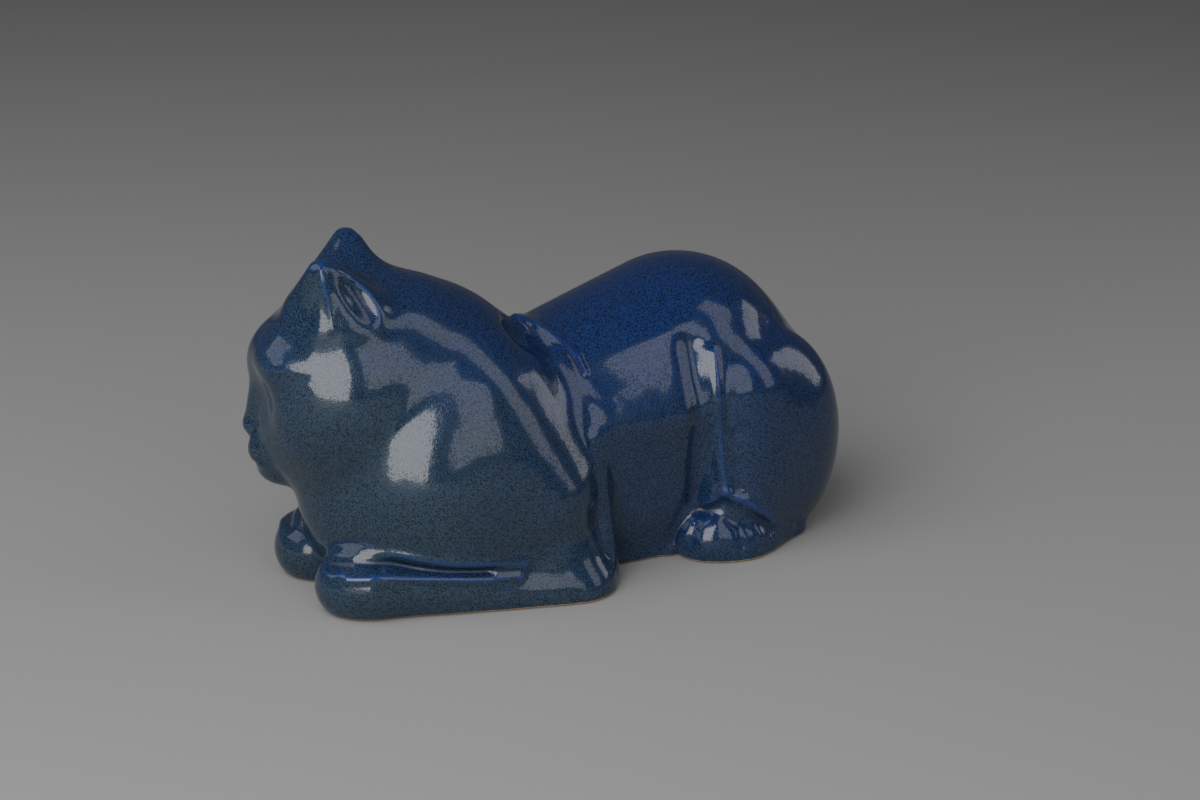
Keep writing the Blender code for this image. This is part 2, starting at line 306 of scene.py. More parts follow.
def trunk_forms():
    """Back, rump, belly, chest and neck, and the broad sole that the figure stands on."""
    back = Group(0, [
        Bone((-1, 0, 20.5), (19.5, 0, 25.2), 15.5, 17, 0),
        Ball((25.5, 0, 14.5), (19.3, 16.5, 18), 8),
        Ball((8, 0, 10), (22, 14.2, 17), 7),
    ])
    sole = Group(2, [Bone((-24, 0, 0), (29, 0, 0), 12, 13, 0, flat=(1, 1, 0.5))])
    front = Group(4, [
        Ball((-23, 0, 15), (18.6, 14.5, 18), 0),
        Bone((-9.5, 0, 24.5), (-27, 0.5, 33.6), 11, 12.8, 8),
        Ball((-20, 0, 31.2), (10, 11, 11.4), 6),
    ])
    return [back, front, sole]


def foreleg(side):
    """Shoulder, upper arm and elbow in one block, and the forearm laid along the ground in front of it."""
    shoulder = Group(6, [
        Ball((-19, side * 8.5, 18), (17, 11, 19.5), 0, turn=(side * 6, 0, 0)),
        Bone((-18, side * 9, 28), (-10, side * 12, 14), 7.5, 8.5, 6),
    ])
    elbow = Group(1.4, [
        Bone((-13, side * 8.5, 29), (-8, side * 13.4, 2), 6.5, 8, 0),
        Bone((-16, side * 10, 17), (-17, side * 10.5, 2), 8.5, 8, 6),
        Bone((-2.6, side * 13.8, 22), (-1.6, side * 16.2, 2), 2.2, 2.4, 1.4),
    ])
    fore = Group(1.6, [
        Bone((-6.5, side * 15.8, 0.5), (-33.5, side * 8.6, 3.9), 6.6, 6.6, 0, flat=(1, 1, 0.9)),
        Ball((-35, side * 7.6, 3.8), (7.8, 6.8, 6.3), 3),
    ])
    blade = Group(3, [
        Bone((-5.8, 0, 34.4), (-5, side * 8, 31.5), 1.3, 1.3, 0),
        Bone((-5, side * 8, 31.5), (-1.5, side * 12.5, 26.4), 1.3, 1, 1),
    ])
    dimple = Ball((-8, side * 6.5, 37.4), (3.4, 3.6, 3), 4, carves=True)
    return [shoulder, elbow, fore, blade, dimple]


def hind_leg(side):
    """Thigh with its upright front edge, and the hind paw that looks out from under it."""
    thigh = Group(1.6, [
        Bone((22.8, side * 11.5, 25), (23, side * 12.6, 9), 7.2, 7, 0),
        Ball((28.5, side * 9.8, 15), (13, 9, 17.5), 7),
        Bone((18, side * 12.6, 26), (17.8, side * 14.4, 9), 2.3, 2.3, 2.5),
    ])
    paw = Group(1.2, [
        Ball((20.5, side * 14.2, 2.2), (8, 5.6, 7), 0),
        Bone((22, side * 14.5, 1), (31, side * 11.8, 0.6), 5, 4.2, 4),
    ])
    return [thigh, paw]


def head_forms():
    """Skull, jaw, brow, nose and muzzle in the head's own frame, which faces -X, and the two ears."""
    skull = [
        Ball((1.2, 0, -0.5), (12.6, 11, 13.2), 0),
        Ball((-1.3, 0, -9), (10.7, 8.8, 10), 6),
        Ball((-8, 0, 0.8), (5.1, 5.6, 5.6), 4),
    ]
    for side in (LEFT, RIGHT):
        skull += [
            Ball((1.2, side * 6, -4.8), (8.8, 5.7, 9.5), 4),
            Ball((-5.6, side * 5.4, 2.6), (4.6, 4.4, 3.6), 5),
            Ball((-15.2, side * 7.8, -3.8), (6, 4.6, 4.8), 4.5, carves=True),
        ]
    skull += [
        Bone((-9.8, 0, -0.5), (-12.1, 0, -8.8), 2.8, 2.1, 1.5),
        Ball((-12.3, 0, -9.4), (1.9, 2.3, 1.7), 1.6),
        Ball((-10.0, 1.9, -12.2), (3.3, 3.0, 3.2), 1.6),
        Ball((-10.0, -1.9, -12.2), (3.3, 3.0, 3.2), 1.6),
        Ball((-8.6, 0, -15.2), (4.0, 3.8, 3.0), 1.4),
    ]
    for side in (LEFT, RIGHT):
        skull += ear_forms(side)
    return [Group(4, skull, turn=(0, 0, HEAD_TURN), place=HEAD_CENTRE)]


def skull_core():
    """The part of the skull that the vessel's hollow reaches into."""
    return Group(5, [Ball((1.2, 0, -2), (12, 10.5, 13.5), 0)], turn=(0, 0, HEAD_TURN), place=HEAD_CENTRE)


def ear_forms(side):
    """A thick ear with a hollow on its front and another behind its outer ridge."""
    return [
        Bone((0.3, side * 4.3, 8.4), (-0.5, side * 7.7, 16.4), 7, 1.7, 4, flat=(1, 0.82, 1)),
        Ball((-4.2, side * 12.7, 10.4), (3.6, 5.0, 8), 2.2, turn=(side * 8, 14, -side * 54), carves=True),
        Bone((4.2, side * 4, 8.6), (0.6, side * 6.8, 15.6), 4.4, 1.7, 2.5),
        Ball((5.2, side * 10.4, 12.8), (1.8, 4.2, 5.2), 1.6, turn=(0, -35, 0), carves=True),
    ]


def tail_forms():
    """The tail leaves the rump and lies round the far side."""
    route = ((38, 11), (34, 16), (27, 19), (16, 20), (5, 18.8))
    radii = (4.2, 3.9, 3.6, 3.3, 2.9)
    bones = [
        Bone((*route[i], 3), (*route[i + 1], 3), radii[i], radii[i + 1], 0.5)
        for i in range(len(route) - 1)
    ]
    return [Group(1.5, bones)]


def hollow_forms():
    """The masses that the hollow follows one wall inside. Paws, ears and tail stay solid."""
    forms = trunk_forms()
    for side in (LEFT, RIGHT):
        forms += foreleg(side)[:2] + hind_leg(side)[:1]
    return forms + [skull_core()]


def figure_forms():
    """The whole figure, in the order in which its forms are joined and carved."""
    forms = trunk_forms()
    for side in (LEFT, RIGHT):
        forms += foreleg(side) + hind_leg(side)
    return forms + head_forms() + tail_forms()


def head_lines(side):
    """Fine relief of one half of the head, in the head's frame. A crease has a negative height."""
    ear_crest = ((0.1, 9.2, 17.3), (0.7, 10.2, 14.5), (1.2, 11.1, 12.2), (1.7, 11.8, 9))
    brow = ((-8, 9.6, 2.5), (-5.3, 10.1, 3.2), (-2.1, 10.8, 2.9))
    nostril = ((-13.6, 0.9, -9.9), (-12.8, 1.8, -9.4))
    mouth = ((-13, 0.1, -10.8), (-13.2, 0.2, -12.9), (-12, 2.4, -13.9), (-10.6, 4.3, -13.4))
    return [
        Ridge(ear_crest, side, 0.6, 0.4),
        Ridge(brow, side, 0.9, 0.2),
        Ridge(nostril, side, 0.5, -0.12),
        Ridge(mouth, side, 0.6, -0.25),
    ]


def body_lines(side):
    """Fine relief of one half of the body. A crease has a negative height."""
    thigh_edge = (
        (17.1, 15.4, 32.1), (17, 16.6, 28.4), (16.9, 17.1, 22), (17.2, 17.3, 15.5), (17.8, 17.8, 11),
    )
    before_thigh = ((14.4, 14.4, 33), (13.9, 15.8, 28.6), (13.9, 16.2, 22), (14.2, 15.9, 15), (14.4, 15.4, 9))
    behind_edge = ((19.2, 18.2, 20), (19.4, 18.4, 15), (19.7, 18.7, 11.5))
    over_thigh = (
        (14.8, 14.6, 33), (17, 14, 34.9), (20.1, 13.7, 35.6), (23.3, 13.3, 35.4), (27.5, 12.5, 34),
    )
    blade = ((-7.1, 0.6, 37.1), (-5.1, 2.4, 36.4), (-3.6, 6.3, 34.8), (-2.2, 9.8, 33), (-1.8, 12, 31))
    blade_pocket = ((-6.3, 4.6, 34.8), (-5.9, 6.4, 33.9))
    lip = ((-39.7, 5.2, 8.7), (-37, 9.7, 10.1), (-32.6, 14.3, 9.7), (-25, 17.9, 8.3), (-15.7, 19.1, 6.9))
    lip_crease = ((-41.1, 8.4, 7.7), (-38.6, 12, 8.3), (-34, 14, 8.1), (-27.5, 16.5, 7.1), (-20.9, 18.1, 6.3))
    arm_crest = ((-40.2, 11.6, 6.9), (-36, 13.8, 7.2), (-30, 15.9, 6.3), (-23.5, 17.6, 5.5), (-16.6, 19, 5.2))
    collar = (
        (11.5, 12.6, 0.4), (12.4, 14.4, 3.5), (14.9, 15.2, 8.3), (17.3, 17.3, 10.9), (20.2, 19.1, 9.6),
        (23.7, 19.7, 7.2), (27.3, 18.6, 3.9), (30.2, 16.6, 2.4),
    )
    in_collar = (
        (13, 16.2, 2.5), (13.9, 16, 5.4), (15.8, 16.2, 7.6), (17.8, 17.8, 9.1), (20.1, 19.2, 8.1),
        (23, 19.5, 6.1), (25.4, 19.1, 3.6),
    )
    belly_edge = ((0, 15.4, 24), (7, 16.2, 23.6), (13, 16.4, 23.4))
    flank_slope = ((-1, 14.2, 30.5), (6, 13.8, 31), (12.5, 13.6, 31.5))
    first_toe = ((18.4, 18.5, 6.4), (19.4, 19.3, 5.1), (19.8, 20, 2.8))
    second_toe = ((20.3, 19.2, 5.9), (21.6, 19.7, 4.5), (22.3, 20, 2.5))
    return [
        Ridge(thigh_edge, side, 0.75, 0.42),
        Ridge(before_thigh, side, 1.5, -0.65),
        Ridge(behind_edge, side, 1.1, -0.4),
        Ridge(over_thigh, side, 2.2, -0.4),
        Ridge(blade, side, 0.6, 0.3),
        Ridge(blade_pocket, side, 1.1, -0.7),
        Ridge(lip, side, 0.8, 0.5),
        Ridge(lip_crease, side, 0.75, -0.75),
        Ridge(arm_crest, side, 0.8, 0.45),
        Ridge(collar, side, 1.0, 0.35),
        Ridge(in_collar, side, 0.95, -0.4),
        Ridge(first_toe, side, 0.8, -0.25),
        Ridge(second_toe, side, 0.8, -0.22),
        Ridge(belly_edge, side, 3, 0.7),
        Ridge(flank_slope, side, 3.4, -0.65),
    ]


def melted(a, b, width):
    """Union of two distances whose seam is a fillet of that width."""
    if width <= 0:
        return np.minimum(a, b)
    share = np.maximum(width - np.abs(a - b), 0) / width
    return np.minimum(a, b) - share**3 * width / 6


def fold(points, forms):
    """Distance in units from points to the forms joined in their order: negative inside."""
    found = forms[0].distance(points)
    for form in forms[1:]:
        if form.carves:
            found = -melted(-found, form.distance(points), form.melt)
        else:
            found = melted(found, form.distance(points), form.melt)
    return found


def relief(points, share):
    """Height in units that the fine lines add to the surface."""
    raised = np.zeros(len(points))
    local = (points - np.array(HEAD_CENTRE)) @ rotation((0, 0, HEAD_TURN))
    for side in (LEFT, RIGHT):
        for line in body_lines(side):
            raised += line.lift(points)
        for line in head_lines(side):
            raised += line.lift(local)
    return raised * share


def foot_draw(points):
    """How far the skin draws in just above the ground, for a rounded foot."""
    near_ground = np.clip(1 - points[:, 2] / FOOT_ROLL, 0, 1)
    return FOOT_ROLL * (1 - np.sqrt(1 - FOOT_TUCK * near_ground**2))


def plain_skin(points):
    """Distance in metres to the outer skin without its fine lines."""
    return fold(points / UNIT, figure_forms()) * UNIT + foot_draw(points)


def lining(points):
    """Distance in metres to the hollow's surface, at least one wall inside the skin."""
    grid = points / UNIT
    return np.maximum(fold(grid, hollow_forms()), fold(grid, figure_forms())) * UNIT + WALL


def skin_with_relief(share):
    """The outer skin's distance with the fine lines laid on it at that share of their height."""
    return lambda points: plain_skin(points) - relief(points / UNIT, share) * UNIT


def gradient(field, points, reach):
    """Direction in which a field grows fastest, and how fast, from four probes."""
    corners = ((1, -1, -1), (-1, -1, 1), (-1, 1, -1), (1, 1, 1))
    slopes = sum(np.array(c) * field(points + reach * np.array(c))[:, None] for c in corners)
    return slopes / (4 * reach)


def settled(points, field, steps):
    """Points moved onto the zero surface of a field."""
    for _ in range(steps):
        slope = gradient(field, points, PROBE)
        square = np.maximum((slope**2).sum(axis=1), LEAST_SLOPE**2)
        move = -field(points)[:, None] * slope / square[:, None]
        size = np.linalg.norm(move, axis=1, keepdims=True)
        points = points + move * np.minimum(1, MAX_MOVE / np.maximum(size, TINY))
    return points


def vertex_places(mesh):
    flat = np.empty(3 * len(mesh.vertices))
    mesh.vertices.foreach_get("co", flat)
    return flat.reshape(-1, 3)


def settle(mesh, field, steps):
    """Moves a mesh's vertices onto the zero surface of a field."""
    mesh.vertices.foreach_set("co", settled(vertex_places(mesh), field, steps).ravel())
    mesh.update()


def sphere_points(centre, radius, flat, rings=8, spokes=16):
    """Points on a ball, stretched by flat."""
    found = []
    for ring in range(rings + 1):
        polar = math.pi * ring / rings
        for spoke in range(spokes):
            angle = 2 * math.pi * spoke / spokes
            way = (math.sin(polar) * math.cos(angle), math.sin(polar) * math.sin(angle), math.cos(polar))
            found.append((np.array(centre) + radius * np.array(way)) * np.array(flat))
    return found


def hull_points(form, inset):
    """Points in units whose convex hull is the form, drawn in by the inset."""
    if isinstance(form, Ball):
        ball = np.array(sphere_points((0, 0, 0), 1, (1, 1, 1))) * (form.radii - inset)
        return ball @ form.axes.T + form.centre
    first = sphere_points(form.start, form.start_radius - inset, form.flat)
    return np.array(first + sphere_points(form.end, form.end_radius - inset, form.flat))


def slimmest(form):
    """Smallest radius of a form, in units."""
    if isinstance(form, Ball):
        return form.radii.min()
    return min(form.start_radius, form.end_radius)


def hulls(forms, carves, inset, axes=np.eye(3), place=np.zeros(3)):
    """Hull points of the forms that add clay, or of those that carve, in the figure's frame.

    Forms that an inset would all but use up are left out.
    """
    found = []
    for form in forms:
        if isinstance(form, Group):
            found += hulls(form.forms, carves, inset, axes @ form.axes, axes @ form.place + place)
        elif form.carves == carves and slimmest(form) > inset + LEAST_CORE:
            found.append(hull_points(form, inset) @ axes.T + place)
    return found


def new_object(name, bm):
    mesh = bpy.data.meshes.new(name)
    bm.to_mesh(mesh)
    bm.free()
    obj = bpy.data.objects.new(name, mesh)
    bpy.context.scene.collection.objects.link(obj)
    return obj


def apply_modifiers(obj):
    """Replaces an object's mesh by what its modifiers make of it."""
    graph = bpy.context.evaluated_depsgraph_get()
    graph.update()
    result = bpy.data.meshes.new_from_object(obj.evaluated_get(graph))
    old = obj.data
    obj.modifiers.clear()
    obj.data = result
    bpy.data.meshes.remove(old)


def hull_mesh(name, clouds):
    """One object that holds the convex hull of each cloud of points."""
    bm = bmesh.new()
    for points in clouds:
        verts = [bm.verts.new(p) for p in points * UNIT]
        hull = bmesh.ops.convex_hull(bm, input=verts, use_existing_faces=False)
        unused = [v for v in hull["geom_interior"] if isinstance(v, bmesh.types.BMVert)]
        bmesh.ops.delete(bm, geom=unused, context="VERTS")
    return new_object(name, bm)


def remeshed(obj, voxel):
    remesh = obj.modifiers.new("Melt", "REMESH")
    remesh.mode = "VOXEL"
    remesh.voxel_size = voxel
    apply_modifiers(obj)


def rough_mesh(name, forms, voxel, inset=0):
    """The forms as convex hulls, run together into one closed mesh, with the carving ones cut out of it."""
    obj = hull_mesh(name, hulls(forms, False, inset))
    remeshed(obj, voxel)
    carving = hulls(forms, True, 0)
    if carving:
        subtract(obj, hull_mesh("carving", carving))
        remeshed(obj, voxel)
    return obj


def subtract(obj, cutter):
    """Cuts one solid out of another and removes the cutter."""
    cut = obj.modifiers.new("Cut", "BOOLEAN")
    cut.operation = "DIFFERENCE"
    cut.solver = "EXACT"
    cut.object = cutter
    apply_modifiers(obj)
    bpy.data.objects.remove(cutter)


def split_where_sharp(obj, field, bend):
    """Divides the faces across which the surface turns by more than an angle, in degrees."""
    mesh = obj.data
    normals = gradient(field, vertex_places(mesh), PROBE)
    normals /= np.maximum(np.linalg.norm(normals, axis=1, keepdims=True), TINY)
    bm = bmesh.new()
    bm.from_mesh(mesh)
    bm.verts.ensure_lookup_table()
    limit = math.cos(math.radians(bend))
    sharp = set()
    for edge in bm.edges:
        a, b = (v.index for v in edge.verts)
        if normals[a] @ normals[b] < limit:
            sharp.update(edge.link_faces)
    edges = list({edge for face in sharp for edge in face.edges})
    bmesh.ops.subdivide_edges(bm, edges=edges, cuts=1, use_grid_fill=True)
    bm.to_mesh(mesh)
    bm.free()


def cut_flat(obj, height):
    """Removes what lies below a height and closes the cut with one flat face."""
    bm = bmesh.new()
    bm.from_mesh(obj.data)
    everything = bm.verts[:] + bm.edges[:] + bm.faces[:]
    bmesh.ops.bisect_plane(
        bm, geom=everything, dist=MERGE, plane_co=(0, 0, height), plane_no=(0, 0, 1), clear_inner=True
    )
    rim = [e for e in bm.edges if e.is_boundary]
    bmesh.ops.contextual_create(bm, geom=rim)
    bmesh.ops.triangulate(bm, faces=[f for f in bm.faces if len(f.verts) > 4])
    bmesh.ops.recalc_face_normals(bm, faces=bm.faces)
    bm.to_mesh(obj.data)
    bm.free()


def turned_solid(name, profile, place, sides):
    """A closed solid of revolution about Z from (radius, height) points that start and end on the axis."""
    bm = bmesh.new()
    verts = [bm.verts.new((r, 0, z)) for r, z in profile]
    edges = [bm.edges.new(pair) for pair in zip(verts, verts[1:])]
    bmesh.ops.spin(
        bm, geom=verts + edges, cent=(0, 0, 0), axis=(0, 0, 1), angle=2 * math.pi, steps=sides,
        use_merge=True, use_duplicate=False,
    )
    bmesh.ops.remove_doubles(bm, verts=bm.verts, dist=MERGE)
    bmesh.ops.recalc_face_normals(bm, faces=bm.faces)
    bmesh.ops.translate(bm, verts=bm.verts, vec=place)
    return new_object(name, bm)


def bend_of_surface(mesh, normals, passes):
    """How strongly the surface bends at each vertex, in 1/m: positive on ridges, negative in creases."""
    count = len(mesh.vertices)
    flat = np.empty(2 * len(mesh.edges), int)
    mesh.edges.foreach_get("vertices", flat)
    a, b = flat.reshape(-1, 2).T
    places = vertex_places(mesh)
    way = places[b] - places[a]
    square = np.maximum((way**2).sum(axis=1), TINY)
    bend = np.bincount(a, -2 * (normals[a] * way).sum(axis=1) / square, count)
    bend += np.bincount(b, 2 * (normals[b] * way).sum(axis=1) / square, count)
    near = np.maximum(np.bincount(a, minlength=count) + np.bincount(b, minlength=count), 1)
    bend /= near
    for _ in range(passes):
        bend = 0.5 * bend + 0.5 * (np.bincount(a, bend[b], count) + np.bincount(b, bend[a], count)) / near
    return bend


def store(mesh, name, values):
    """Keeps one number per vertex, for the glaze's material to read."""
    attribute = mesh.attributes.new(name, "FLOAT", "POINT")
    attribute.data.foreach_set("value", values.astype(np.float32))


def shade_from_fields(mesh, skin):
    """Smooth normals taken from the fields themselves, and flat ones on the cut faces."""
    places = vertex_places(mesh) - np.array(SHIFT)
    outside = gradient(skin, places, PROBE)
    inside = -gradient(lining, places, PROBE)
    on_skin = np.abs(skin(places)) < WALL / 3
    on_lining = ~on_skin & (places[:, 2] > FLOOR + MERGE)
    corner_vertex = np.empty(len(mesh.loops), int)
    mesh.loops.foreach_get("vertex_index", corner_vertex)
    per_face = np.empty(len(mesh.polygons), int)
    mesh.polygons.foreach_get("loop_total", per_face)
    flat = np.empty(3 * len(mesh.polygons))
    mesh.polygons.foreach_get("normal", flat)
    face_normals = np.repeat(flat.reshape(-1, 3), per_face, axis=0)
    chosen = np.where(on_skin[corner_vertex, None], outside[corner_vertex], inside[corner_vertex])
    chosen /= np.maximum(np.linalg.norm(chosen, axis=1, keepdims=True), TINY)
    agrees = (chosen * face_normals).sum(axis=1) > 0.5
    curved = agrees & (on_skin | on_lining)[corner_vertex]
    chosen = np.where(curved[:, None], chosen, face_normals)
    mesh.normals_split_custom_set(chosen.tolist())
    normals = outside / np.maximum(np.linalg.norm(outside, axis=1, keepdims=True), TINY)
    bend = np.where(on_skin, bend_of_surface(mesh, normals, BEND_PASSES), 0)
    store(mesh, "ridge", np.clip(bend * RIDGE_GAIN - RIDGE_START, 0, 1))
    store(mesh, "crease", np.clip(-bend * CREASE_GAIN - CREASE_START, 0, 1))
    store(mesh, "inside", (~on_skin).astype(float))


def filler_cutter():
    """The filler hole through the floor, with the wider recess at its foot."""
    recess = (BUNG_HIGH.x - BUNG_LOW.x) / 2 + FIT_GAP
    profile = (
        (0, -CUT_PAST),
        (recess, -CUT_PAST),
        (recess, RECESS_DEPTH),
        (FILLER_RADIUS, RECESS_DEPTH),
        (FILLER_RADIUS, FLOOR + CUT_PAST),
        (0, FLOOR + CUT_PAST),
    )
    return turned_solid("filler_cutter", profile, (BUNG_MIDDLE.x, BUNG_MIDDLE.y, 0), ROUND_SIDES)


def cat_mesh(cell, share):
    """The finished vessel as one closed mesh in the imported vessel's place."""
    skin = skin_with_relief(share)
    body = rough_mesh("glazed_cat", figure_forms(), cell)
    settle(body.data, plain_skin, 4)
    settle(body.data, skin, 2)
    for bend in SPLIT_BENDS:
        split_where_sharp(body, skin, bend)
        settle(body.data, skin, 2)
    cut_flat(body, 0)
    hollow = rough_mesh("hollow", hollow_forms(), HOLLOW_VOXEL, WALL / UNIT)
    settle(hollow.data, lining, 8)
    cut_flat(hollow, FLOOR)
    subtract(body, hollow)
    body.data.transform(Matrix.Translation(SHIFT))
    subtract(body, filler_cutter())
    for face in body.data.polygons:
        face.use_smooth = True
    shade_from_fields(body.data, skin)
    return body


class Nodes:
    """Short way to lay out a material's nodes."""

    def __init__(self, name):
        self.material = bpy.data.materials.new(name)
        self.material.use_nodes = True
        self.tree = self.material.node_tree
        self.shader = self.tree.nodes["Principled BSDF"]

    def add(self, kind, **values):
        node = self.tree.nodes.new(kind)
        for name, value in values.items():
            setattr(node, name, value)
        return node

    def feed(self, node, socket, source):
        """Joins an output to an input, or sets the input to a value."""
        if isinstance(source, bpy.types.NodeSocket):
            self.tree.links.new(source, node.inputs[socket])
        else:
            node.inputs[socket].default_value = source

    def maths(self, operation, first, second, third=None, clamp=False):
        node = self.add("ShaderNodeMath", operation=operation, use_clamp=clamp)
        self.feed(node, 0, first)
        self.feed(node, 1, second)
        if third is not None:
            self.feed(node, 2, third)
        return node.outputs[0]

    def band(self, value, low, high, to_low=0.0, to_high=1.0):
        """Smooth step of a value between two limits."""
        node = self.add("ShaderNodeMapRange", interpolation_type="SMOOTHSTEP")
        self.feed(node, "Value", value)
        self.feed(node, "From Min", low)
        self.feed(node, "From Max", high)
        self.feed(node, "To Min", to_low)
        self.feed(node, "To Max", to_high)
        return node.outputs[0]

    def mix(self, share, first, second, blend="MIX"):
        node = self.add("ShaderNodeMix", data_type="RGBA", blend_type=blend)
        self.feed(node, 0, share)
        self.feed(node, 6, first)
        self.feed(node, 7, second)
        return node.outputs[2]

    def noise(self, place, scale, detail=2.0, roughness=0.5, distortion=0.0):
        node = self.add("ShaderNodeTexNoise")
        self.feed(node, "Vector", place)
        self.feed(node, "Scale", scale)
        self.feed(node, "Detail", detail)
        self.feed(node, "Roughness", roughness)
        self.feed(node, "Distortion", distortion)
        return node.outputs[0]

    def cells(self, place, scale):
        """Distance to the nearest of scattered points, in cells."""
        node = self.add("ShaderNodeTexVoronoi", feature="F1")
        self.feed(node, "Vector", place)
        self.feed(node, "Scale", scale)
        return node.outputs["Distance"]

    def attribute(self, name):
        return self.add("ShaderNodeAttribute", attribute_name=name).outputs["Fac"]

    def bump(self, height, distance, strength=1.0, below=None):
        node = self.add("ShaderNodeBump")
        self.feed(node, "Height", height)
        self.feed(node, "Distance", distance)
        self.feed(node, "Strength", strength)
        if below is not None:
            self.feed(node, "Normal", below)
        return node.outputs[0]


def solid_colour(colour):
    return (*colour, 1.0)


def glaze_material(settings):
    """Speckled blue glaze: royal blue over ridges, darker in creases with pooled glaze and painted shade, bare
    clay at the foot and inside.
    """
    n = Nodes("speckled_blue_glaze")
    place = n.add("ShaderNodeTexCoord").outputs["Object"]
    apart = n.add("ShaderNodeSeparateXYZ")
    n.feed(apart, 0, place)
    height = apart.outputs[2]
    facing = n.add("ShaderNodeSeparateXYZ")
    n.feed(facing, 0, n.add("ShaderNodeNewGeometry").outputs["Normal"])
    ridge, crease = n.attribute("ridge"), n.attribute("crease")

    clouds = n.noise(place, 22, 3, 0.55, 0.4)
    drifts = n.noise(place, 90, 3, 0.6, 0.6)
    towards_back = n.band(apart.outputs[0], -0.085, 0.03)
    upward = n.band(facing.outputs[2], -0.1, 0.85)
    high = n.band(height, 0.01, 0.13)
    deep = n.maths("MULTIPLY_ADD", towards_back, 0.42, -0.12)
    deep = n.maths("ADD", deep, n.maths("MULTIPLY", upward, 0.55))
    deep = n.maths("ADD", deep, n.maths("MULTIPLY", high, 0.2))
    deep = n.maths("ADD", deep, n.maths("MULTIPLY", n.maths("SUBTRACT", clouds, 0.5), 0.7))
    deep = n.maths("ADD", deep, n.maths("MULTIPLY", n.maths("SUBTRACT", drifts, 0.5), 0.35), clamp=True)
    blue = n.mix(deep, solid_colour(settings.teal_blue), solid_colour(settings.deep_blue))
    thin = n.maths("MULTIPLY", n.band(ridge, 0.1, 1.0), n.band(drifts, 0.2, 0.6, 0.4, 0.7))
    thin = n.maths("MULTIPLY", thin, n.band(height, 0.004, 0.011))
    thin = n.maths("MULTIPLY", thin, n.band(apart.outputs[0], -0.142, -0.128, 0.25, 1.0))
    blue = n.mix(thin, blue, solid_colour(settings.edge_blue))
    # Creases darken towards a deeper blue. This is partly glaze pooled there and partly painted shade for the
    # shadow that falls in them. The same mask also roughens the glaze there.
    pooled_and_shaded = n.maths("MULTIPLY", n.band(crease, 0.05, 0.8), 0.75)
    blue = n.mix(pooled_and_shaded, blue, solid_colour([0.55 * c for c in settings.deep_blue]))

    per_metre = 1 / settings.speck_size
    wobble = n.noise(place, per_metre * 0.6, 2, 0.6)
    moved = n.add("ShaderNodeVectorMath", operation="MULTIPLY_ADD")
    offset = n.add("ShaderNodeTexNoise")
    n.feed(offset, "Vector", place)
    n.feed(offset, "Scale", per_metre * 0.8)
    n.feed(moved, 0, offset.outputs[1])
    n.feed(moved, 1, (settings.speck_size * 0.6,) * 3)
    n.feed(moved, 2, place)
    dots = n.cells(moved.outputs[0], per_metre)
    grain = n.noise(place, per_metre * 1.7, 3, 0.7)
    size = n.band(wobble, 0.3, 0.7, 0.26, 0.48)
    speck = n.maths("SUBTRACT", 1.0, n.band(n.maths("SUBTRACT", dots, size), -0.1, 0.14))
    speck = n.maths("MULTIPLY", speck, n.band(grain, 0.3, 0.6, 0.55, 1.0))
    fewer = n.maths("MULTIPLY", thin, 0.75)
    speck = n.maths("MULTIPLY", speck, n.maths("SUBTRACT", 1.0, fewer))
    lighter = n.maths("MULTIPLY", n.band(grain, 0.48, 0.7), 0.6)
    lighter = n.maths("MULTIPLY", lighter, n.maths("SUBTRACT", 1.0, fewer))
    paler = n.mix(1.0, blue, (2.5, 2.5, 2.3, 1.0), "MULTIPLY")
    blue = n.mix(lighter, blue, n.mix(1.0, paler, (0.008, 0.011, 0.014, 1.0), "ADD"))
    blue = n.mix(n.maths("MULTIPLY", speck, 0.93), blue, solid_colour(settings.speck_colour))

    ragged = n.maths("MULTIPLY_ADD", n.noise(place, 350, 2), 0.0007, settings.foot_line - 0.00035)
    bare = n.maths("MAXIMUM", n.maths("LESS_THAN", height, ragged), n.attribute("inside"))
    darker_clay = solid_colour([0.72 * c for c in settings.clay])
    clay = n.mix(n.noise(place, 900, 3, 0.7), darker_clay, solid_colour(settings.clay))
    n.feed(n.shader, "Base Color", n.mix(bare, blue, clay))

    smooth_glaze = n.maths("ADD", settings.gloss - 0.02, n.maths("MULTIPLY", drifts, 0.05))
    smooth_glaze = n.maths("ADD", smooth_glaze, n.maths("MULTIPLY", speck, 0.05))
    smooth_glaze = n.maths("ADD", smooth_glaze, n.maths("MULTIPLY", pooled_and_shaded, 0.3))
    rough = n.add("ShaderNodeMix", data_type="FLOAT")
    n.feed(rough, 0, bare)
    n.feed(rough, 2, smooth_glaze)
    n.feed(rough, 3, 0.85)
    n.feed(n.shader, "Roughness", rough.outputs[0])
    waves = n.bump(n.noise(place, 75, 2, 0.45), 0.00022)
    pits = n.bump(speck, 0.000012, 1.0, waves)
    n.feed(n.shader, "Normal", pits)
    n.shader.inputs["IOR"].default_value = 1.57
    return n.material


def rubber_material():
    """Matt black rubber with a fine moulded grain and a dusting of clay."""
    n = Nodes("stopper_rubber")
    place = n.add("ShaderNodeTexCoord").outputs["Object"]
    grain = n.noise(place, 1400, 3, 0.6)
    dust = n.band(n.noise(place, 160, 4, 0.65), 0.5, 0.75)
    black, clay_dust = (0.03, 0.029, 0.028, 1), (0.16, 0.14, 0.12, 1)
    n.feed(n.shader, "Base Color", n.mix(n.maths("MULTIPLY", dust, 0.25), black, clay_dust))
    n.feed(n.shader, "Roughness", n.band(grain, 0.2, 0.8, 0.5, 0.75))
    n.feed(n.shader, "Normal", n.bump(grain, 0.00006))
    return n.material


def floor_material(colour):
    """Plain matt floor."""
    n = Nodes("plain_floor")
    place = n.add("ShaderNodeTexCoord").outputs["Object"]
    tone = n.noise(place, 3, 2)
    darker = solid_colour([0.97 * c for c in colour])
    n.feed(n.shader, "Base Color", n.mix(tone, darker, solid_colour(colour)))
    n.shader.inputs["Roughness"].default_value = 0.9
    return n.material


